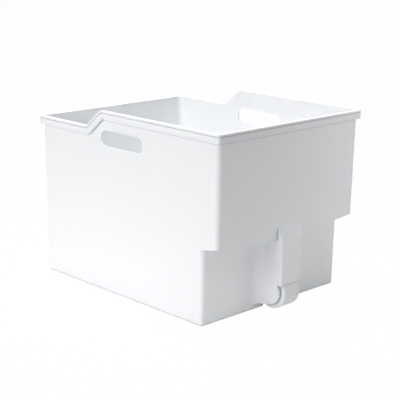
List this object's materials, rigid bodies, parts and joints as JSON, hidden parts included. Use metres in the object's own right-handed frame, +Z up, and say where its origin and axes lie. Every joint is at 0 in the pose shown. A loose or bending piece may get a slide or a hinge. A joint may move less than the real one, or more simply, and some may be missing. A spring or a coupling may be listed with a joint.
{
  "type": "rolling storage bin",
  "caption": "Open-top rectangular moulded bin with a stepped double-ribbed rim, a hand slot in each long side and a roller housed under its inset end.",
  "frame": {"origin": "middle of the bin's outline, on the surface that it stands on", "axes": "+X along the bin towards the high end with the roller, +Y across it, +Z up"},
  "size_m": [0.4318, 0.324, 0.3],
  "materials": {
    "tub_plastic": "satin",
    "roller_plastic": "satin",
    "pin_steel": "bright drawn"
  },
  "bodies": {
    "tub": {"bin_tub": "tub_plastic", "axle_pin": "pin_steel"},
    "roller": {"roller": "roller_plastic"}
  },
  "joints": [
    {"name": "roller_spin", "type": "hinge", "parent": "tub", "child": "roller", "pos_m": [0.18691, 0, 0.031], "axis": [0, 1, 0], "continuous": true}
  ]
}
